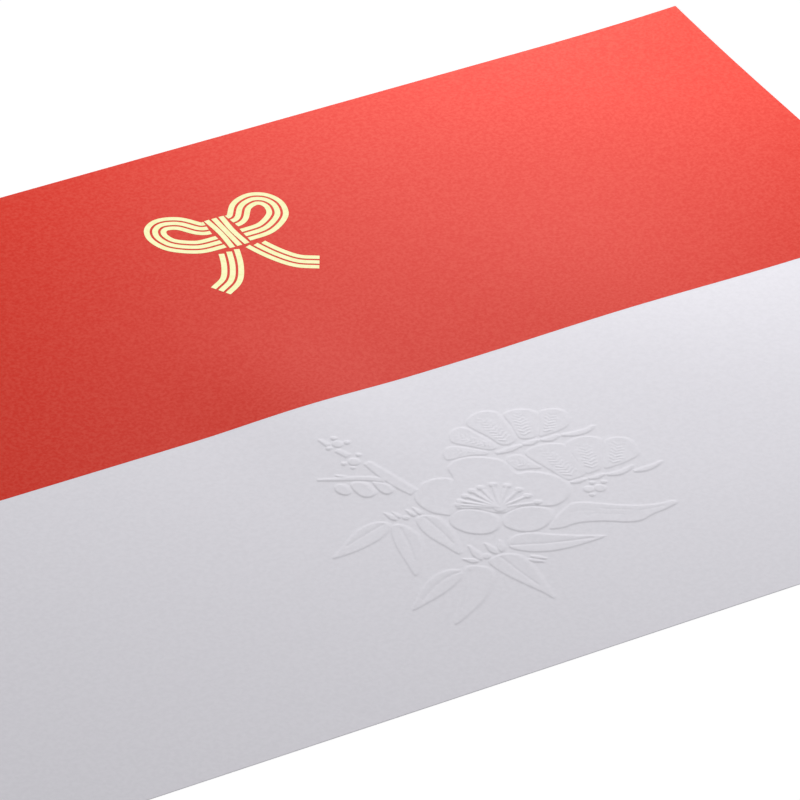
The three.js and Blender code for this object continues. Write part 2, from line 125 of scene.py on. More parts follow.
# Closed outlines. The three back petals are pressed as one field; the two front petals lie over its near side
BACK_PETALS = [
    (-3, 12.3), (-2.2, 15.7), (0.4, 17.2), (3.4, 17.2), (6.8, 15.8), (9.6, 13.3), (10.6, 10.3), (10.3, 7.6),
    (11.1, 6.8), (13.1, 6.5), (16.2, 4.4), (18.3, 1.2), (18.5, -1.7), (17.2, -4.3), (14.9, -6.2), (11.9, -6.9),
    (9.4, -5.9), (8.2, -5.1), (5, -3.9), (2.4, -4), (0.6, -4.2), (-1, -3.5), (-2.3, -2.4), (-4.3, -0.3),
    (-6.1, 0.75), (-8.3, 1.7), (-9.2, 1), (-10.9, 0.4), (-12, 1.2), (-13.9, 3.1), (-15, 6.8), (-14.5, 9.8),
    (-12.7, 11.6), (-10.3, 13.2), (-7.3, 13.5), (-4.6, 12.7), (-3.6, 11.4),
]
FRONT_PETALS = [
    [(-12.5, -2.3), (-10.6, 0.3), (-7.4, 0.9), (-4.6, -0.6), (-2.6, -3), (-2.2, -5.7), (-3.6, -8.1), (-6.2, -9.1),
     (-9.2, -8.1), (-11.6, -5.6)],
    [(-2.1, -8.3), (-1.2, -6), (1.5, -4.5), (4.9, -4.3), (8.1, -5.6), (9.8, -7.8), (9.1, -10.2), (6.8, -12.1),
     (3.4, -12.9), (0.1, -11.7)],
]
HEART = (0.4, -2.1, 1.5)  # x, y, radius
# Stamens: x and y of the head, and how high the thread stands over the petals
STAMENS = [
    (-7.3, 2.8, 0.14), (-6.3, 3.8, 0.17), (-4.3, 4.9, 0.17), (-2, 5.9, 0.15), (0.4, 6.1, 0.12), (3.4, 5.8, 0.12),
    (6, 4, 0.13), (7.6, 1.6, 0.13), (8.2, -1.2, 0.13), (8.9, -4.2, 0.08),
]
BARE_THREAD = (-8.2, 2.1, 0.06)  # the lowest one on the left has no head
THREAD_WIDTH = 0.7
HEAD_RADIUS = 0.85
HALF_OPEN_PETALS = [
    [(-29, 19.4), (-28.4, 20.8), (-27, 21.1), (-26.3, 20.1), (-26.2, 18.2), (-27.2, 17), (-28.4, 17.7)],
    [(-25, 19.8), (-23.3, 20.2), (-21.7, 18.8), (-21.5, 16.4), (-21.6, 14.8), (-23, 14.1), (-24.5, 14.8),
     (-25.2, 16.6)],
    [(-20, 18.4), (-18.6, 17.4), (-17.5, 15.9), (-17.7, 14), (-19, 13.2), (-20, 14.1), (-20.3, 16.4)],
]
# Buds: x, y, radius
BUDS = [
    (-20, 26.8, 1.35), (-22.4, 27.2, 0.65), (-17.8, 28.6, 0.65), (-21.3, 25, 0.55), (-20, 34, 1.25),
    (-22.6, 33.5, 0.65), (-17.8, 33.6, 0.75), (-19.7, 36.2, 0.7), (21.8, -5.1, 1.2), (24.3, -5.9, 1.35),
    (23.8, -3.4, 0.7), (21.4, -7.2, 0.65), (26.3, -4.3, 0.7), (-20.1, 4.1, 0.8), (-11.5, -15.9, 1),
]
# Twigs and the scalloped bands under the pine boughs: stations of x, y, width
TWIGS = [
    [(-17.7, 25.2, 1.6), (-16.6, 20.6, 2.6), (-15, 14.8, 2.8), (-13.6, 11.2, 2.5)],
    [(-20.1, 29.1, 1.4), (-21.4, 32.1, 1.3)],
    [(-22.2, 34.4, 1.1), (-23, 37.2, 0.6)],
    [(-17.3, 18, 1.5), (-19.6, 19.7, 1.5), (-22.8, 21.4, 1.4), (-26.3, 22.8, 1.1), (-30.7, 24.7, 0.6)],
    [(-24.5, 22.8, 0.9), (-26.2, 24.3, 0.5)],
]
BANDS = [
    [(10.4, 15.6, 0.8), (13.8, 15.4, 1.5), (17, 15.7, 0.9)],
    [(17.5, 15.8, 0.8), (19.5, 15.5, 1.5), (21.5, 15.7, 0.8)],
    [(22, 15.4, 0.8), (24.3, 14.8, 1.6), (26.6, 15.2, 0.9)],
    [(27.2, 14.9, 0.8), (30.6, 13.9, 1.6), (33.7, 13.9, 1.3), (35.6, 14.7, 0.5)],
    [(19.5, -1.2, 0.6), (21.3, -1.6, 1.2), (23.3, -1.6, 0.7)],
    [(23.9, -1.8, 0.7), (26, -2.1, 1.2), (28, -1.9, 0.7)],
    [(28.4, -2.4, 0.8), (31.2, -3, 1.5), (33.6, -2.7, 1.2), (35.5, -1.9, 0.4)],
    [(34.5, -4, 0.7), (37.2, -4.4, 1.5), (40, -4.2, 1.2), (42.2, -3.5, 0.4)],
]
BRANCH = [
    (9.2, -11), (12, -9.5), (15.5, -8), (18, -8.6), (21, -10.6), (25, -13.2), (29, -15.4), (33, -16.7),
    (36.6, -17.3), (36.6, -18.2), (34, -19), (30, -19.4), (26, -20.2), (23, -19.3), (20, -17.5), (17, -16),
    (13, -14.7), (9, -14.6), (6.3, -13.6),
]
BARK_LINES = [
    [(13.5, -10.6), (16.4, -11.2), (19, -12.6)],
    [(16.2, -13.4), (18.2, -13.3), (21, -15), (23.7, -16.3)],
    [(20.5, -12.4), (23.4, -14.2), (26.2, -15.6)],
    [(27.7, -16.8), (30.5, -17.4), (33.6, -17.8)],
]
LEAVES = [
    [(-24.7, 4.1), (-26, 5.3), (-28.5, 5.6), (-31.5, 5), (-35, 3.2), (-38.5, 0.8), (-42, -1.3), (-42, -1.5),
     (-38, -1.7), (-33, -1.1), (-29, 0), (-26, 1.7), (-24.7, 3.4)],
    [(-24.6, 2.8), (-25.4, 1.6), (-26.5, -1), (-27.5, -4.5), (-28.4, -10), (-29, -14.9), (-26.7, -12.7),
     (-24.7, -10.3), (-22.6, -6.9), (-21.2, -3.3), (-21.6, 0.8), (-22.9, 2.8)],
    [(-18.3, 2.6), (-19.2, 0), (-19.1, -4), (-17.8, -8.6), (-16.3, -12.6), (-15, -10), (-13.7, -6), (-13.3, -2),
     (-14.2, 1.6), (-16.6, 3.1)],
    [(-19.1, -18.3), (-20.3, -16.8), (-22.5, -16.4), (-25.5, -16.9), (-29, -18.8), (-32.5, -21.8), (-35.9, -25.2),
     (-31, -24.3), (-27, -23.2), (-23.5, -21.8), (-20.8, -20.3)],
    [(-18.8, -18), (-17.2, -17.2), (-15, -18), (-13.3, -20), (-13.8, -22.8), (-16.5, -26), (-20, -28.9),
     (-25, -31.6), (-30.3, -33.6), (-26, -28), (-22.3, -23.2)],
    [(-12.1, -17.8), (-12, -20.5), (-10.9, -24.3), (-9, -28.8), (-7.3, -32.5), (-6.2, -35.4), (-5, -29),
     (-4.3, -24), (-4.3, -20.6), (-5.3, -18.3), (-7.5, -17), (-10.5, -17)],
    [(-5.1, -15.6), (-4.6, -13.8), (-2.5, -12.5), (1.5, -13), (5, -15.2), (10, -18.2), (15.7, -21.4), (10, -21.7),
     (5, -21.3), (1, -20.3), (-2.5, -18.5)],
]
# A groove between the two halves of each leaf: points of x, y
MIDRIBS = [
    [(-26, 4.2), (-29, 3.4), (-32.5, 2.4), (-37, 1)],
    [(-23.1, 1.3), (-24.9, -6.1), (-26.3, -9.7)],
    [(-16.2, 2), (-15.7, -3), (-15.6, -8.5)],
    [(-19.5, -18.2), (-21.5, -18.2), (-25, -19.1), (-28.5, -20.8), (-32, -23)],
    [(-17.6, -18.8), (-20.5, -23), (-26, -29.6)],
    [(-8.8, -17.8), (-8.4, -20), (-7.8, -24), (-6.8, -29.5)],
    [(-4.5, -14.9), (-1, -16.2), (3, -17.8), (7, -19), (13, -20.7)],
]
# Small leaves: base x and y, tip x and y, width. They are widest at a share of their length.
SPROUT_WIDEST = 0.3
SPROUT_TAPER = 1.7
SPROUT_LEAST_WIDTH = 0.3
SPROUTS = [
    (-22.4, 4.2, -23.5, 7.8, 1.4), (-21.3, 4.6, -21.7, 7.2, 1), (-18, 3.7, -18.6, 6.5, 1.1),
    (-16.6, 3.7, -16.8, 6.6, 1), (-14.2, -16.8, -16.7, -14.4, 1.6), (-13.2, -16.6, -13.1, -10.8, 1.8),
    (-9, -16.2, -9.4, -11.6, 1.7), (-7.7, -16.1, -5.9, -12.1, 1.6), (-3.9, -21.1, -1.3, -23.3, 1.2),
    (-2.8, -20.2, -0.2, -22.6, 1.2),
]
PINE_LOBES = [
    [(-0.8, 18.4), (-0.2, 21.1), (1.9, 22.3), (3.6, 21.9), (6.3, 19.6), (8.9, 16.9), (8.3, 16.2), (5.5, 17.3),
     (2.6, 17.8)],
    [(3.7, 23.8), (5.1, 26.9), (7.1, 27.7), (9, 27.3), (10.4, 23.8), (11.8, 19.3), (11.4, 17.3), (9.8, 17.4),
     (6.8, 20.3)],
    [(10.2, 27.3), (10.7, 28.9), (12.4, 30.2), (15.2, 30.8), (17.7, 30), (18.8, 28.4), (18.4, 24.3),
     (17.2, 18.4), (15.2, 17.2), (13.3, 17.8), (12, 22.1)],
    [(19.7, 27.6), (21.8, 28.1), (24.2, 27.6), (26, 26.3), (26.7, 24.9), (24.6, 21.6), (21.7, 17.2),
     (19.9, 17.1), (18.3, 18.1), (19.2, 23.8)],
    [(27.7, 24.8), (29.3, 24.9), (31.3, 24.2), (32.6, 22.6), (32.3, 20.2), (30.6, 17.5), (27.8, 16.6),
     (25, 16.5), (22.7, 16.8), (25.2, 20.8)],
    [(11.2, 12.7), (13.1, 13.4), (14.8, 12.8), (15.8, 9.2), (16.6, 6.5), (14.1, 7.3), (11.4, 8.4)],
    [(16.2, 12.7), (18, 13.7), (21, 13.9), (23.9, 13.1), (25.8, 11.6), (25.2, 6.5), (24.2, 0.1), (21.3, -0.4),
     (19.5, -0.1), (18, 4.7)],
    [(26.3, 11.6), (28.9, 12.5), (31.9, 12.1), (33.8, 10.7), (34.3, 9.4), (31.3, 4.5), (28.2, 0.2), (26.7, -0.1),
     (24.6, 0.1), (25.4, 6.2)],
    [(35, 8.7), (37.4, 8.9), (39.4, 7.8), (40.2, 6), (40, 3.2), (39.3, 1.4),
     (38.1, 0.4), (36.7, 0.1), (34.7, -0.3), (32.5, -0.4), (29.3, -0.1), (32.4, 4.6)],
]
# The twig in each lobe that its needles grow from: foot x and y, top x and y
NEEDLE_TWIGS = [
    (7.5, 17.5, 1.9, 20.9), (10.5, 17.9, 5.9, 25.5), (14.9, 18.5, 14.4, 28.9), (19.6, 18.5, 22.8, 26.7),
    (24.4, 17.6, 29.7, 23), (14.6, 7.8, 12.6, 11.5), (21.2, 0.8, 20.9, 11.8), (26.9, 1, 29.8, 10),
    (31.9, 0.6, 37.4, 7),
]
NEEDLE_PITCH = 1.15
FIRST_NEEDLE = 0.4  # from the foot of the twig
NEEDLE_LENGTH = 2
NEEDLE_TAPER = 0.35  # share by which the last needle is shorter than the first
NEEDLE_SLANT = 58  # degrees from the twig
NEEDLE_WIDTH = 0.42
NEEDLE_HEIGHT = 0.068
NEEDLE_STRENGTH, NEEDLE_FADE = 1.35, 0.9  # share of that height at the foot, and what is lost by the top
BARE_RIM, RIM_FADE = 0.7, 0.6  # strip along a lobe's outline with no needles, and where they fade in
# How far the needles stray from a regular row: in length or place, in height, and in slant (radians)
REACH_STRAY, HEIGHT_STRAY, SLANT_STRAY = 0.15, 0.25, 0.12
GROOVE_WIDTH = 0.6
GROOVE_DEPTH = 0.075

# Foil bow
BOW_Y = 69
CORDS = 3
CORD_WIDTH = 1.35
CORD_GAP = 0.6
LOOP_REACH = 15.6
LOOP_TOP = 9.4
TAIL_REACH = 13.2
TAIL_DROP = 20.4
KNOT_HALF_LENGTH = 6.2
KNOT_WAIST = 0.8  # share of the knot's width at its middle
# Guide points of a band's middle line. The loop starts some mm out from the knot and up from its lowest place
# there, goes on in shares of its reach and top, and returns below the middle. The tail has shares of its reach
# and drop.
LOOP_START = [(0, 0.45), (1, 0.62), (2.1, 1.32)]
LOOP_COURSE = [(0.52, 0.82), (0.66, 0.95), (0.81, 0.98), (0.94, 0.85), (1, 0.6), (0.98, 0.33), (0.9, 0.08)]
LOOP_RETURN = (0.58, 0.86)  # share of the reach, and of the depth at which the loop ends
TAIL_COURSE = [(0.12, 0), (0.27, 0.36), (0.46, 0.66), (0.68, 0.87), (1, 1)]
CORD_STEPS = 90
EDGE_ROUNDING = 0.4  # radius of a strip's long edges, as a share of its thickness
SPLINE_STEPS = 10  # from one guide point to the next


def spline(points, closed=False):
    """A smooth line through points: a centripetal Catmull-Rom spline, as the solids have."""
    points = np.array(points, float)
    if closed:
        guides = np.vstack([points[-1:], points, points[:2]])
    else:
        guides = np.vstack([2 * points[0] - points[1], points, 2 * points[-1] - points[-2]])
    line = []
    for before, start, end, after in zip(guides, guides[1:], guides[2:], guides[3:]):
        steps = [max(1e-4, np.linalg.norm(b - a) ** 0.5) for a, b in
                 ((before, start), (start, end), (end, after))]
        speed_in = ((start - before) / steps[0] - (end - before) / (steps[0] + steps[1])
                    + (end - start) / steps[1]) * steps[1]
        speed_out = ((end - start) / steps[1] - (after - start) / (steps[1] + steps[2])
                     + (after - end) / steps[2]) * steps[1]
        for t in np.linspace(0, 1, SPLINE_STEPS, endpoint=False):
            line.append(start + speed_in * t + (3 * (end - start) - 2 * speed_in - speed_out) * t ** 2
                        + (2 * (start - end) + speed_in + speed_out) * t ** 3)
    if not closed:
        line.append(points[-1])
    return np.array(line)


def stroke_outline(stations):
    """The closed outline of a long form along stations of x, y and width."""
    line = spline(stations)
    along = np.gradient(line[:, :2], axis=0)
    along /= np.linalg.norm(along, axis=1)[:, None]
    across = np.column_stack([-along[:, 1], along[:, 0]]) * line[:, 2:] / 2
    return np.vstack([line[:, :2] + across, (line[:, :2] - across)[::-1]])


def sprout_stations(base_x, base_y, tip_x, tip_y, width):
    """A small leaf that swells from its base and runs out to a point."""
    stations = []
    for t in np.linspace(0, 1, 6):
        if t < SPROUT_WIDEST:
            swell = math.sqrt(t / SPROUT_WIDEST)
        else:
            swell = 1 - ((t - SPROUT_WIDEST) / (1 - SPROUT_WIDEST)) ** SPROUT_TAPER
        stations.append((base_x + t * (tip_x - base_x), base_y + t * (tip_y - base_y),
                         max(SPROUT_LEAST_WIDTH, width * swell)))
    return stations


def distance_to_line(x, y, line):
    """Distance from each point to an open line of points."""
    nearest = np.full(x.shape, np.inf)
    for (ax, ay), (bx, by) in zip(line, line[1:]):
        span = (bx - ax) ** 2 + (by - ay) ** 2
        along = np.clip(((x - ax) * (bx - ax) + (y - ay) * (by - ay)) / span, 0, 1)
        nearest = np.minimum(nearest, np.hypot(x - ax - along * (bx - ax), y - ay - along * (by - ay)))
    return nearest


def signed_distance(x, y, outline):
    """Distance from each point to a closed outline, positive inside it."""
    loop = np.vstack([outline, outline[:1]])
    inside = np.zeros(x.shape, bool)
    for (ax, ay), (bx, by) in zip(loop, loop[1:]):
        if ay != by:
            inside ^= ((ay > y) != (by > y)) & (x < ax + (y - ay) * (bx - ax) / (by - ay))
    distance = distance_to_line(x, y, loop)
    return np.where(inside, distance, -distance)


def smooth(t):
    """A smooth step from 0 at t = 0 to 1 at t = 1."""
    t = np.clip(t, 0, 1)
    return t * t * (3 - 2 * t)


def hump(t):
    """A smooth hump: 1 in its middle and 0 from t = -1 and t = 1 outwards."""
    return np.where(np.abs(t) < 1, (1 + np.cos(np.pi * np.clip(t, -1, 1))) / 2, 0)


def patch(points, margin):
    """The part of the lattice round some points: two slices, and x and y from the middle of the emboss."""
    points = np.array(points)[:, :2]
    low, high = points.min(0) - margin, points.max(0) + margin
    i0, i1 = np.searchsorted(lattice_x, [low[0] + EMBOSS_X, high[0] + EMBOSS_X])
    j0, j1 = np.searchsorted(lattice_y, [low[1] + EMBOSS_Y, high[1] + EMBOSS_Y])
    x, y = np.meshgrid(lattice_x[i0:i1] - EMBOSS_X, lattice_y[j0:j1] - EMBOSS_Y, indexing="ij")
    return (slice(i0, i1), slice(j0, j1)), x, y


def lay_on(relief, where, form, base):
    """Adds a form to a part of the relief: over the sheet, or over the base relief if there is one."""
    if base is not None:
        form = np.where(form > 0, form + base[where], 0)
    relief[where] = np.maximum(relief[where], form)


def raise_form(relief, outline, rise, base=None):
    """Raises a form with a slanted wall and a middle that sags a little."""
    where, x, y = patch(outline, WALL)
    inwards = signed_distance(x, y, outline)
    lay_on(relief, where, rise * smooth(inwards / WALL + WALL_OUTSIDE) - SAG * smooth(inwards / SAG_REACH), base)


def raise_dome(relief, x0, y0, radius, rise, base=None):
    """Raises a round form like a drop."""
    where, x, y = patch([(x0, y0)], radius + 2 * DOME_SPREAD)
    share = np.hypot(x - x0, y - y0) / (radius + DOME_SPREAD)
    wall = smooth((1 - share) * radius / (DOME_WALL * WALL))
    lay_on(relief, where, rise * (1 - DOME_FALL * share ** 2) * wall, base)


def press_groove(relief, line, width, depth):
    """Presses a soft groove along a line. It fades where the paper isn't raised."""
    where, x, y = patch(line, width)
    profile = hump(distance_to_line(x, y, line) / width)
    relief[where] -= depth * profile * smooth(relief[where] / LEAF_RISE)


def grow_needles(relief, twig, outline):
    """Herringbone needles on both sides of the twig of a pine lobe, no further than the lobe reaches."""
    foot, top = np.array(twig[:2]), np.array(twig[2:])
    length = np.linalg.norm(top - foot)
    along = (top - foot) / length
    across = np.array([-along[1], along[0]])
    slant = math.radians(NEEDLE_SLANT)
    where, x, y = patch(outline, 0)
    room = smooth((signed_distance(x, y, outline) - BARE_RIM) / RIM_FADE)
    needles = np.zeros(x.shape)
    for k, distance in enumerate(np.arange(FIRST_NEEDLE, length, NEEDLE_PITCH)):
        share = distance / length
        for side in (-1, 1):
            stray = math.sin(2.4 * k + 1.3 * side + foot[0])  # a fixed wobble that doesn't repeat along the twig
            reach = NEEDLE_LENGTH * (1 - NEEDLE_TAPER * share + REACH_STRAY * stray)
            strength = (NEEDLE_STRENGTH - NEEDLE_FADE * share) * (1 - HEIGHT_STRAY * stray)
            start = foot + along * (distance + REACH_STRAY * stray)
            turn = slant + SLANT_STRAY * stray
            end = start + reach * (along * math.cos(turn) + side * across * math.sin(turn))
            needle = hump(distance_to_line(x, y, [start, end]) / NEEDLE_WIDTH)
            needles = np.maximum(needles, strength * needle)
    relief[where] += NEEDLE_HEIGHT * needles * room


def soften(relief, passes):
    """Rounds a relief's shoulders, as paper does over a die."""
    for _ in range(passes):
        padded = np.pad(relief, ((1, 1), (0, 0)), mode="edge")
        relief = (padded[:-2] + 2 * relief + padded[2:]) / 4
        padded = np.pad(relief, ((0, 0), (1, 1)), mode="edge")
        relief = (padded[:, :-2] + 2 * relief + padded[:, 2:]) / 4
    return relief


def ease_far_sides(relief, slope):
    """Gives the sides of the forms that look to the right or away a longer slope than the near sides have."""
    step = lattice_x[1] - lattice_x[0]
    towards_right, away = SLOPE_ALONG_X * slope * step, SLOPE_ALONG_Y * slope * step
    for _ in range(math.ceil(relief.max() / towards_right)):
        relief[1:] = np.maximum(relief[1:], relief[:-1] - towards_right)
        relief[:, 1:] = np.maximum(relief[:, 1:], relief[:, :-1] - away)
    return relief


def emboss():
    """Height of the embossed paper over the bare paper, on the whole lattice."""
    relief = np.zeros((COLUMNS + 1, ROWS + 1))
    raise_form(relief, spline(BACK_PETALS, closed=True), PETAL_RISE)
    for outline in FRONT_PETALS:
        raise_form(relief, spline(outline, closed=True), FRONT_PETAL_RISE)
    for outline in HALF_OPEN_PETALS:
        raise_form(relief, spline(outline, closed=True), SPROUT_RISE)
    for outline, twig in zip(PINE_LOBES, NEEDLE_TWIGS):
        lobe = spline(outline, closed=True)
        raise_form(relief, lobe, PINE_RISE)
        grow_needles(relief, twig, lobe)
    for outline in LEAVES:
        raise_form(relief, spline(outline, closed=True), LEAF_RISE)
    for line in MIDRIBS:
        press_groove(relief, spline(line), GROOVE_WIDTH, GROOVE_DEPTH)
    raise_form(relief, spline(BRANCH, closed=True), TWIG_RISE)
    for line in BARK_LINES:
        press_groove(relief, spline(line), GROOVE_WIDTH / 2, GROOVE_DEPTH / 2)
    for stations in TWIGS:
        raise_form(relief, stroke_outline(stations), TWIG_RISE)
    for stations in BANDS:
        raise_form(relief, stroke_outline(stations), BAND_RISE)
    relief = ease_far_sides(relief, FAR_SLOPE)
    petals = relief.copy()
    for sprout in SPROUTS:
        raise_form(relief, stroke_outline(sprout_stations(*sprout)), SPROUT_RISE)
    for x, y, radius in BUDS:
        raise_dome(relief, x, y, radius, BUD_RISE)
    for x, y, rise in [BARE_THREAD] + STAMENS:
        thread = stroke_outline([(*HEART[:2], THREAD_WIDTH), (x, y, THREAD_WIDTH)])
        raise_form(relief, thread, rise, petals)
    for x, y, _ in STAMENS:
        raise_dome(relief, x, y, HEAD_RADIUS, HEAD_RISE, petals)
    raise_dome(relief, *HEART, HEART_RISE, petals)
    return soften(ease_far_sides(relief, SMALL_FAR_SLOPE), FACE_PASSES)


def dents():
    """Depth of the dents, which go through both faces of the paper, on the whole lattice."""
    relief = np.zeros((COLUMNS + 1, ROWS + 1))
    for x0, y0, radius, depth in DENTS:
        where, x, y = patch([(x0 - EMBOSS_X, y0 - EMBOSS_Y)], radius)
        relief[where] += depth * hump(np.hypot(x + EMBOSS_X - x0, y + EMBOSS_Y - y0) / radius)
    return relief


def lift(x, y):
    """Height of the sheet's underside over the table."""
    height = np.zeros(np.shape(x))
    for ridge_x, half_width, half_length, rise in RIDGES:
        height += rise * hump((x - ridge_x) / half_width) * hump(y / half_length)
    curl = np.clip(1 - np.hypot(SHEET_WIDTH / 2 - x, SHEET_DEPTH / 2 - y) / CORNER_REACH, 0, 1)
    return height + CORNER_LIFT * curl ** 2


def bent(relief, size, flatness):
    """For each square of the lattice of that size, whether the relief leaves the square's flat face."""
    low_left, low_right = relief[:-1:size, :-1:size], relief[size::size, :-1:size]
    top_left, top_right = relief[:-1:size, size::size], relief[size::size, size::size]
    found = np.zeros(low_left.shape, bool)
    for i in range(size + 1):
        for j in range(size + 1):
            s, t = i / size, j / size
            flat = ((low_left * (1 - s) + low_right * s) * (1 - t)
                    + (top_left * (1 - s) + top_right * s) * t)
            rows, columns = found.shape
            here = relief[i:i + size * rows:size, j:j + size * columns:size][:rows, :columns]
            found |= np.abs(here - flat) > flatness
    return found


def split_squares(relief, sizes, flatness):
    """Squares of the lattice as i, j, size: coarse ones where the relief is flat, and finer ones elsewhere."""
    rough = {size: bent(relief, size, flatness) for size in sizes[:-1]}
    squares = []
    waiting = [(i, j, sizes[0]) for i in range(0, relief.shape[0] - 1, sizes[0])
               for j in range(0, relief.shape[1] - 1, sizes[0])]
    for size, finer in zip(sizes, sizes[1:]):
        split = [s for s in waiting if rough[size][s[0] // size, s[1] // size]]
        squares += [s for s in waiting if not rough[size][s[0] // size, s[1] // size]]
        waiting = [(i + a, j + b, finer) for i, j, _ in split
                   for a in range(0, size, finer) for b in range(0, size, finer)]
    return squares + waiting


def ring(i, j, size):
    """Lattice points round a square, anticlockwise from its near left corner."""
    return ([(i + k, j) for k in range(size)] + [(i + size, j + k) for k in range(size)]
            + [(i + size - k, j + size) for k in range(size)] + [(i, j + size - k) for k in range(size)])


def quilt(squares, height):
    """Points and faces of a surface made of squares. A side that meets finer squares takes in their corners."""
    used = np.zeros(height.shape, bool)
    i, j, size = np.array(squares).T
    for a, b in ((0, 0), (1, 0), (1, 1), (0, 1)):
        used[i + a * size, j + b * size] = True
    number = np.full(height.shape, -1)
    number[used] = np.arange(used.sum())
    us, vs = np.nonzero(used)
    points = np.column_stack([lattice_x[us], lattice_y[vs], height[us, vs]])
    faces = []
    for square in squares:
        if square[2] == 1:
            u, v, _ = square
            faces.append([number[u, v], number[u + 1, v], number[u + 1, v + 1], number[u, v + 1]])
        else:
            faces.append([number[p] for p in ring(*square) if used[p]])
    return points, faces, number


def closed_leaf(name, top_squares, top_height, under_squares, under_height):
    """A closed body between two surfaces whose borders have the same points."""
    top, top_faces, top_number = quilt(top_squares, top_height)
    under, under_faces, under_number = quilt(under_squares, under_height)
    us, vs = np.nonzero(top_number >= 0)
    first_i, last_i, first_j, last_j = us.min(), us.max(), vs.min(), vs.max()
    border = ([(i, first_j) for i in range(first_i, last_i)] + [(last_i, j) for j in range(first_j, last_j)]
              + [(i, last_j) for i in range(last_i, first_i, -1)]
              + [(first_i, j) for j in range(last_j, first_j, -1)])
    border = [p for p in border if top_number[p] >= 0]
    faces = top_faces + [[len(top) + n for n in reversed(face)] for face in under_faces]
    for p, q in zip(border, border[1:] + border[:1]):
        faces.append([len(top) + under_number[p], len(top) + under_number[q], top_number[q], top_number[p]])
    mesh = bpy.data.meshes.new(name)
    mesh.from_pydata(np.vstack([top, under]) * MM, [], faces)
    return add_piece(name, mesh)


def add_piece(name, mesh, sharp_from=50):
    """Puts a piece in the scene, with smooth shading up to an angle in degrees."""
    mesh.shade_smooth()
    mesh.set_sharp_from_angle(angle=math.radians(sharp_from))
    piece = bpy.data.objects.new(name, mesh)
    bpy.context.scene.collection.objects.link(piece)
    return piece


def make_paper_and_ink():
    """The embossed paper, hollow behind its broad forms, and the coat of ink on its far half."""
    embossed = emboss()
    worn = dents()
    x, y = np.meshgrid(lattice_x, lattice_y, indexing="ij")
    lie = lift(x, y)
    top = lie + PAPER_THICKNESS + worn
    face = split_squares(embossed + worn, SQUARES, FACE_FLATNESS)
    hollow = soften(embossed, BACK_PASSES)
    back = split_squares(hollow + worn, SQUARES[:-1], BACK_FLATNESS)
    paper = closed_leaf("paper_leaf", face, top + embossed, back, lie + hollow)
    printed = [s for s in face if s[1] >= PRINTED_ROW]
    ink = closed_leaf("ink_coat", printed, top + INK_TOP - PAPER_THICKNESS,
                      printed, top + INK_UNDERSIDE - PAPER_THICKNESS)
    return paper, ink


def linear(hex_colour):
    """An sRGB hex colour as linear red, green, blue and alpha."""
    shares = [int(hex_colour[k:k + 2], 16) / 255 for k in (1, 3, 5)]
    return [s / 12.92 if s <= 0.04045 else ((s + 0.055) / 1.055) ** 2.4 for s in shares] + [1]


def add_node(tree, kind, settings=None, inputs=None):
    """Adds a node with its settings, and with inputs that are values or sockets to link."""
    node = tree.nodes.new(kind)
    for name, value in (settings or {}).items():
        setattr(node, name, value)
    for name, value in (inputs or {}).items():
        if isinstance(value, bpy.types.NodeSocket):
            tree.links.new(value, node.inputs[name])
        else:
            node.inputs[name].default_value = value
    return node


def new_material(name):
    material = bpy.data.materials.new(name)
    material.use_nodes = True
    material.node_tree.nodes.clear()
    return material, material.node_tree


def fibre_pattern(tree, grain_mm):
    """Grey mottle of matted fibres, brighter where they lie close. The clumps are of real size; single fibres
    are a tenth as wide and too fine to show."""
    place = add_node(tree, "ShaderNodeTexCoord").outputs["Object"]
    clumps = add_node(tree, "ShaderNodeTexNoise", inputs={
        "Vector": place, "Scale": 1 / (grain_mm * MM), "Detail": 2, "Roughness": 0.6, "Distortion": 0.3})
    return clumps.outputs["Fac"]


def grained_material(name, grain_mm, bump_mm, colours, ramp, surface):
    """A material whose colour and bump follow the grain of the paper. The ramp is where on the grain the darker
    of the two colours ends and the lighter begins."""
    material, tree = new_material(name)
    fibres = fibre_pattern(tree, grain_mm)
    shade = add_node(tree, "ShaderNodeValToRGB", inputs={"Fac": fibres})
    for stop, position, colour in zip(shade.color_ramp.elements, ramp, colours):
        stop.position = position
        stop.color = linear(colour)
    bump = add_node(tree, "ShaderNodeBump", inputs={"Height": fibres, "Strength": 1, "Distance": bump_mm * MM})
    shader = add_node(tree, "ShaderNodeBsdfPrincipled", inputs={
        "Base Color": shade.outputs["Color"], "Normal": bump.outputs["Normal"], **surface})
    add_node(tree, "ShaderNodeOutputMaterial", inputs={"Surface": shader.outputs["BSDF"]})
    return material


def uncoated_paper():
    """Uncoated fancy paper, calendered lightly: a dead matt white with a cool cast and a soft fibrous grain."""
    return grained_material(
        "uncoated fancy paper", grain_mm=1.1, bump_mm=0.006, colours=("#E9E7EE", "#EDEBF2"), ramp=(0.35, 0.65),
        surface={"Roughness": 0.85, "Specular IOR Level": 0.1})


def offset_ink():
    """Offset ink on uncoated paper: a solid red that lets the fibres through, with a low broad sheen."""
    return grained_material(
        "offset ink on paper", grain_mm=0.8, bump_mm=0.01, colours=("#D73223", "#DD4637"), ramp=(0.35, 0.65),
        surface={"Roughness": 0.45, "Specular IOR Level": 0.02})


def stamping_foil():
    """Hot stamping foil: a mirror-bright pale gold film that follows the paper's grain."""
    return grained_material(
        "gold hot stamping foil", grain_mm=1.1, bump_mm=0.004, colours=("#F7F7B8", "#FEFDC8"), ramp=(0.3, 0.6),
        surface={"Roughness": 0.15, "Metallic": 1})


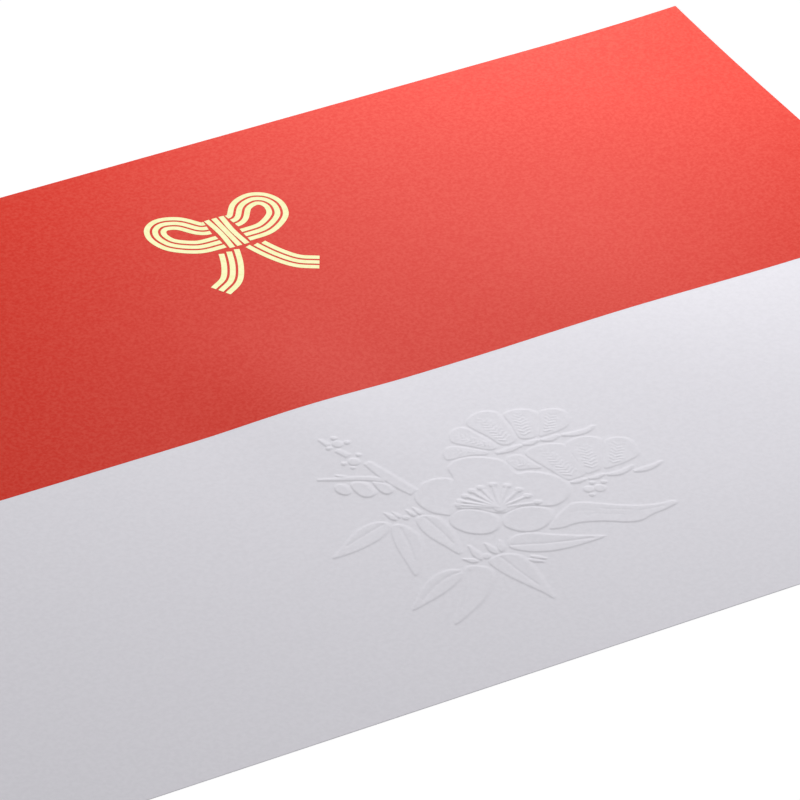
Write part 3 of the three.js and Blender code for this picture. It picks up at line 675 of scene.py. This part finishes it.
def cord_tree(material):
    """Node group that turns the middle line of a band of cords into one flat strip of foil."""
    tree = bpy.data.node_groups.new("foil cord", "GeometryNodeTree")
    tree.interface.new_socket("Geometry", in_out="INPUT", socket_type="NodeSocketGeometry")
    for name in ("Width", "Thickness", "Offset", "Start"):
        tree.interface.new_socket(name, in_out="INPUT", socket_type="NodeSocketFloat")
    tree.interface.new_socket("Geometry", in_out="OUTPUT", socket_type="NodeSocketGeometry")
    given = add_node(tree, "NodeGroupInput").outputs
    trimmed = add_node(tree, "GeometryNodeTrimCurve", {"mode": "FACTOR"}, {
        "Curve": given["Geometry"], 2: given["Start"]})
    stepped = add_node(tree, "GeometryNodeResampleCurve", {"mode": "COUNT"}, {
        "Curve": trimmed.outputs["Curve"], "Count": CORD_STEPS})
    tangent = add_node(tree, "GeometryNodeInputTangent")
    across = add_node(tree, "ShaderNodeVectorMath", {"operation": "CROSS_PRODUCT"}, {
        0: (0, 0, 1), 1: tangent.outputs["Tangent"]})
    aside = add_node(tree, "ShaderNodeVectorMath", {"operation": "SCALE"}, {
        0: across.outputs["Vector"], "Scale": given["Offset"]})
    moved = add_node(tree, "GeometryNodeSetPosition", inputs={
        "Geometry": stepped.outputs["Curve"], "Offset": aside.outputs["Vector"]})
    level = add_node(tree, "GeometryNodeSetCurveNormal", {"mode": "Z_UP"}, {"Curve": moved.outputs["Geometry"]})
    profile = add_node(tree, "GeometryNodeCurvePrimitiveQuadrilateral", inputs={
        "Width": given["Width"], "Height": given["Thickness"]})
    edge = add_node(tree, "ShaderNodeMath", {"operation": "MULTIPLY"}, {0: given["Thickness"], 1: EDGE_ROUNDING})
    rounded = add_node(tree, "GeometryNodeFilletCurve", {"mode": "POLY"}, {
        "Curve": profile.outputs["Curve"], "Count": 2, "Radius": edge.outputs[0]})
    strip = add_node(tree, "GeometryNodeCurveToMesh", inputs={
        "Curve": level.outputs["Curve"], "Profile Curve": rounded.outputs["Curve"], "Fill Caps": True})
    real = add_node(tree, "GeometryNodeRealizeInstances", inputs={"Geometry": strip.outputs["Mesh"]})
    finished = add_node(tree, "GeometryNodeSetMaterial", inputs={
        "Geometry": real.outputs["Geometry"], "Material": material})
    add_node(tree, "NodeGroupOutput", inputs={"Geometry": finished.outputs["Geometry"]})
    return tree


def make_cord(name, line, offset, start, tree):
    """One strip of foil beside the middle line of its band."""
    curve = bpy.data.curves.new(name + "_line", "CURVE")
    curve.dimensions = "3D"
    course = curve.splines.new("POLY")
    course.points.add(len(line) - 1)
    middle_height = FOIL_UNDERSIDE + FOIL_THICKNESS / 2
    for point, (x, y) in zip(course.points, line):
        point.co = (x * MM, (y + BOW_Y) * MM, middle_height * MM, 1)
    guide = bpy.data.objects.new(name + "_guide", curve)
    bpy.context.scene.collection.objects.link(guide)
    modifier = guide.modifiers.new("foil cord", "NODES")
    modifier.node_group = tree
    values = {"Width": CORD_WIDTH * MM, "Thickness": FOIL_THICKNESS * MM, "Offset": offset * MM, "Start": start}
    for socket in tree.interface.items_tree:
        if socket.in_out == "INPUT" and socket.name in values:
            modifier[socket.identifier] = values[socket.name]
    depsgraph = bpy.context.evaluated_depsgraph_get()
    mesh = bpy.data.meshes.new_from_object(guide.evaluated_get(depsgraph), depsgraph=depsgraph)
    guide.modifiers.remove(modifier)
    bpy.data.objects.remove(guide)
    mesh.name = name
    return add_piece(name, mesh, sharp_from=20)


def share_below(line, offset, height):
    """Share of a line's length from which the strip set off from it lies below a height."""
    steps = np.diff(line, axis=0)
    lengths = np.linalg.norm(steps, axis=1)
    done = np.concatenate([[0], np.cumsum(lengths)]) / lengths.sum()
    along_x = steps[:, 0] / lengths
    highest = line[:-1, 1] + along_x * offset + np.abs(along_x) * CORD_WIDTH / 2
    return float(done[np.argmax(highest < height)])


def make_bow(material):
    """The bow: per side one loop and one tail of parallel cords, and a knot of short cords across the middle."""
    tree = cord_tree(material)
    pitch = CORD_WIDTH + CORD_GAP
    half_band = ((CORDS - 1) * pitch + CORD_WIDTH) / 2
    beside_knot = half_band + CORD_GAP
    from_middle = half_band + CORD_GAP / 2
    for side, hand in ((-1, "left"), (1, "right")):
        loop = spline([
            *[(side * (beside_knot + out), from_middle + up) for out, up in LOOP_START],
            *[(side * across * LOOP_REACH, up * LOOP_TOP) for across, up in LOOP_COURSE],
            (side * LOOP_RETURN[0] * LOOP_REACH, -LOOP_RETURN[1] * from_middle),
            (side * (beside_knot + 1), -from_middle), (side * beside_knot, -from_middle)])
        tail = spline([(side * across * TAIL_REACH, -down * TAIL_DROP) for across, down in TAIL_COURSE])
        for k in range(CORDS):
            offset = (k - (CORDS - 1) / 2) * pitch
            start = share_below(tail, offset, -KNOT_HALF_LENGTH - CORD_GAP)
            yield make_cord(f"gold_{hand}_loop_{k + 1}", loop, offset, 0, tree), f"foil_{hand}_loop_cord_{k + 1}"
            yield make_cord(f"gold_{hand}_tail_{k + 1}", tail, offset, start, tree), f"foil_{hand}_tail_cord_{k + 1}"
    for k in range(CORDS):
        x = (k - (CORDS - 1) / 2) * pitch
        knot = spline([(x, -KNOT_HALF_LENGTH), (KNOT_WAIST * x, 0), (x, KNOT_HALF_LENGTH)])
        yield make_cord(f"gold_knot_{k + 1}", knot, 0, 0, tree), f"foil_knot_cord_{k + 1}"


def finish_piece(piece, node, material):
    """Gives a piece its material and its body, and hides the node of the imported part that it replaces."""
    piece.data.materials.clear()
    piece.data.materials.append(material)
    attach(piece, "root")
    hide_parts(node)


paper, ink = make_paper_and_ink()
finish_piece(paper, "paper_sheet", uncoated_paper())
finish_piece(ink, "red_ink_coat", offset_ink())
foil = stamping_foil()
for piece, node in make_bow(foil):
    finish_piece(piece, node, foil)


# Floor, lamp and world: metres, watts, and strengths where 1 is white. Fitted to the fall of brightness over
# both halves of the sheet.
LAMP_AZIMUTH = 53  # degrees from +X
LAMP_ELEVATION = 21  # degrees
LAMP_DISTANCE = 0.41
LAMP_SIZE = 0.22
LAMP_POWER = 1.75
FILL = 0.51  # what the surroundings give to a surface
FLOOR_HALF = 30
FLOOR_HEIGHT = -0.00003
FLOOR_GLOW = 0.55  # lifts the floor from its light to white where it is seen or mirrored


def seen_directly(tree):
    """1 for what the camera sees straight on, in a reflection or through glass, and 0 for light on a surface."""
    path = add_node(tree, "ShaderNodeLightPath").outputs
    either = add_node(tree, "ShaderNodeMath", {"operation": "MAXIMUM"}, {
        0: path["Is Camera Ray"], 1: path["Is Glossy Ray"]})
    return add_node(tree, "ShaderNodeMath", {"operation": "MAXIMUM"}, {
        0: either.outputs[0], 1: path["Is Transmission Ray"]}).outputs[0]


def make_floor():
    """A plain white floor. It keeps the soft shadow that the sheet casts in the light of the surroundings."""
    mesh = bpy.data.meshes.new("floor")
    corners = [(-1, -1), (1, -1), (1, 1), (-1, 1)]
    mesh.from_pydata([(x * FLOOR_HALF, y * FLOOR_HALF, FLOOR_HEIGHT) for x, y in corners], [], [(0, 1, 2, 3)])
    floor = bpy.data.objects.new("floor", mesh)
    bpy.context.scene.collection.objects.link(floor)
    material, tree = new_material("plain floor")
    board = add_node(tree, "ShaderNodeBsdfDiffuse", inputs={"Color": linear("#F4F4F4")})
    strength = add_node(tree, "ShaderNodeMath", {"operation": "MULTIPLY"}, {0: seen_directly(tree), 1: FLOOR_GLOW})
    glow = add_node(tree, "ShaderNodeEmission", inputs={"Strength": strength.outputs[0]})
    both = add_node(tree, "ShaderNodeAddShader", inputs={0: board.outputs[0], 1: glow.outputs[0]})
    add_node(tree, "ShaderNodeOutputMaterial", inputs={"Surface": both.outputs[0]})
    mesh.materials.append(material)


def make_lamp(lit_pieces):
    """A low soft lamp from the far right. It is flagged off the foil and the floor, which keep to the plain light
    of the surroundings."""
    data = bpy.data.lights.new("low lamp", "AREA")
    data.shape = "DISK"
    data.size = LAMP_SIZE
    data.energy = LAMP_POWER
    lamp = bpy.data.objects.new("low lamp", data)
    turn, rise = math.radians(LAMP_AZIMUTH), math.radians(LAMP_ELEVATION)
    away = Vector((math.cos(turn) * math.cos(rise), math.sin(turn) * math.cos(rise), math.sin(rise)))
    lamp.location = away * LAMP_DISTANCE
    lamp.rotation_mode = "QUATERNION"
    lamp.rotation_quaternion = (-away).to_track_quat("-Z", "Y")
    bpy.context.scene.collection.objects.link(lamp)
    lamp.visible_camera = False
    lit = bpy.data.collections.new("lit by the lamp")
    for piece in lit_pieces:
        lit.objects.link(piece)
    lamp.light_linking.receiver_collection = lit


def make_world():
    """A plain surrounding that is white to the eye and lights surfaces at the fill's strength."""
    world = bpy.data.worlds.new("plain studio")
    world.use_nodes = True
    tree = world.node_tree
    tree.nodes.clear()
    strength = add_node(tree, "ShaderNodeMapRange", inputs={
        "Value": seen_directly(tree), "To Min": FILL, "To Max": 1})
    sky = add_node(tree, "ShaderNodeBackground", inputs={"Color": (1, 1, 1, 1), "Strength": strength.outputs[0]})
    add_node(tree, "ShaderNodeOutputWorld", inputs={"Surface": sky.outputs[0]})
    bpy.context.scene.world = world


make_floor()
make_lamp([paper, ink])
make_world()
bpy.context.scene.view_settings.view_transform = "Standard"
